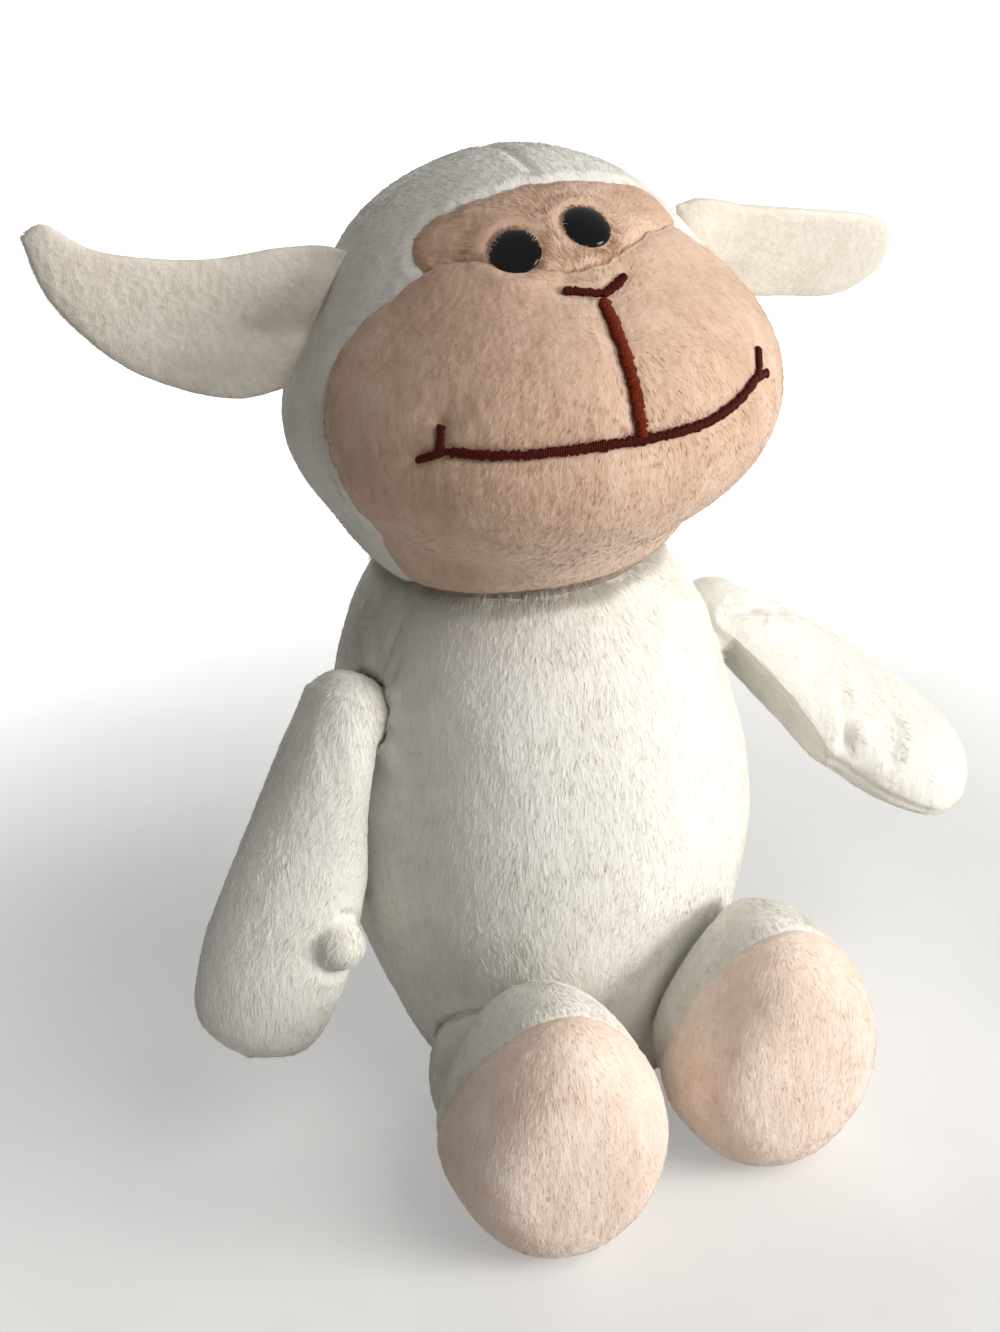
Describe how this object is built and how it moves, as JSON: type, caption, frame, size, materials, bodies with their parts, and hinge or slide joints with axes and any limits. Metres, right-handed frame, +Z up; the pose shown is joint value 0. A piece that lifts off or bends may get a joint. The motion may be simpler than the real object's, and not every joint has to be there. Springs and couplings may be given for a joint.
{
  "type": "plush sheep",
  "caption": "Sitting stuffed sheep in white plush with tan face and soles, glossy eyes, an embroidered mouth, and floppy head, ears, arms and legs",
  "frame": {"origin": "middle of the flat that the toy sits on", "axes": "+Z up, -Y the way its body faces, +X the toy's own left"},
  "size_m": [0.1788, 0.1128, 0.2],
  "materials": {
    "plush_white": "short-pile plush",
    "plush_tan": "short-pile plush",
    "plush_ear": "short-pile plush",
    "filling": "polyester fibre",
    "eye": "glossy",
    "washer": "moulded",
    "thread_brown": "satin stitch",
    "thread_white": "sewing thread"
  },
  "bodies": {
    "torso": {"body_front_panel": "plush_white", "body_back_panel": "plush_white", "body_stuffing": "filling"},
    "neck": {"neck_thread": "thread_white"},
    "head": {"muzzle_panel": "plush_tan", "brow_panel": "plush_tan", "head_cap": "plush_white", "head_stuffing": "filling", "nose_stitch": "thread_brown", "mouth_stitch": "thread_brown", "eye_right": "eye", "eye_washer_right": "washer", "eye_left": "eye", "eye_washer_left": "washer"},
    "ear_right": {"ear_right_front": "plush_ear", "ear_right_back": "plush_white"},
    "shoulder_right": {"shoulder_thread_right": "thread_white"},
    "arm_right": {"arm_right_cover": "plush_white", "arm_right_stuffing": "filling"},
    "leg_right": {"leg_right_cover": "plush_white", "leg_right_sole": "plush_tan", "leg_right_stuffing": "filling"},
    "ear_left": {"ear_left_front": "plush_ear", "ear_left_back": "plush_white"},
    "shoulder_left": {"shoulder_thread_left": "thread_white"},
    "arm_left": {"arm_left_cover": "plush_white", "arm_left_stuffing": "filling"},
    "leg_left": {"leg_left_cover": "plush_white", "leg_left_sole": "plush_tan", "leg_left_stuffing": "filling"}
  },
  "joints": [
    {"name": "head_turn", "type": "hinge", "parent": "torso", "child": "neck", "pos_m": [0, 0.007, 0.09002], "axis": [0, 0, 1], "range_deg": [-20, 20]},
    {"name": "head_nod", "type": "hinge", "parent": "neck", "child": "head", "pos_m": [0, 0.007, 0.09002], "axis": [0.9962, -0.0872, 0], "range_deg": [-12, 12]},
    {"name": "ear_right_flop", "type": "hinge", "parent": "head", "child": "ear_right", "pos_m": [-0.03846, 0.01001, 0.17632], "axis": [0.0814, -0.0312, 0.9962], "range_deg": [-30, 30], "stiffness_Nm_per_rad": 0.01},
    {"name": "arm_right_swing", "type": "hinge", "parent": "torso", "child": "shoulder_right", "pos_m": [-0.042, 0.002, 0.099], "axis": [-1, 0, 0], "range_deg": [-30, 30]},
    {"name": "arm_right_lift", "type": "hinge", "parent": "shoulder_right", "child": "arm_right", "pos_m": [-0.042, 0.002, 0.099], "axis": [0, 0.9962, -0.0872], "range_deg": [0, 70]},
    {"name": "leg_right_swing", "type": "hinge", "parent": "torso", "child": "leg_right", "pos_m": [-0.0235, -0.024, 0.021], "axis": [-1, 0, 0], "range_deg": [-35, 6]},
    {"name": "ear_left_flop", "type": "hinge", "parent": "head", "child": "ear_left", "pos_m": [0.03831, 0.00301, 0.17537], "axis": [0.334, -0.4473, 0.8297], "range_deg": [-30, 30], "stiffness_Nm_per_rad": 0.01},
    {"name": "arm_left_swing", "type": "hinge", "parent": "torso", "child": "shoulder_left", "pos_m": [0.042, 0.002, 0.095], "axis": [-1, 0, 0], "range_deg": [-30, 30]},
    {"name": "arm_left_lift", "type": "hinge", "parent": "shoulder_left", "child": "arm_left", "pos_m": [0.042, 0.002, 0.095], "axis": [0, -0.891, 0.454], "range_deg": [-19, 51]},
    {"name": "leg_left_swing", "type": "hinge", "parent": "torso", "child": "leg_left", "pos_m": [0.0235, -0.024, 0.021], "axis": [-1, 0, 0], "range_deg": [-35, 6]}
  ]
}
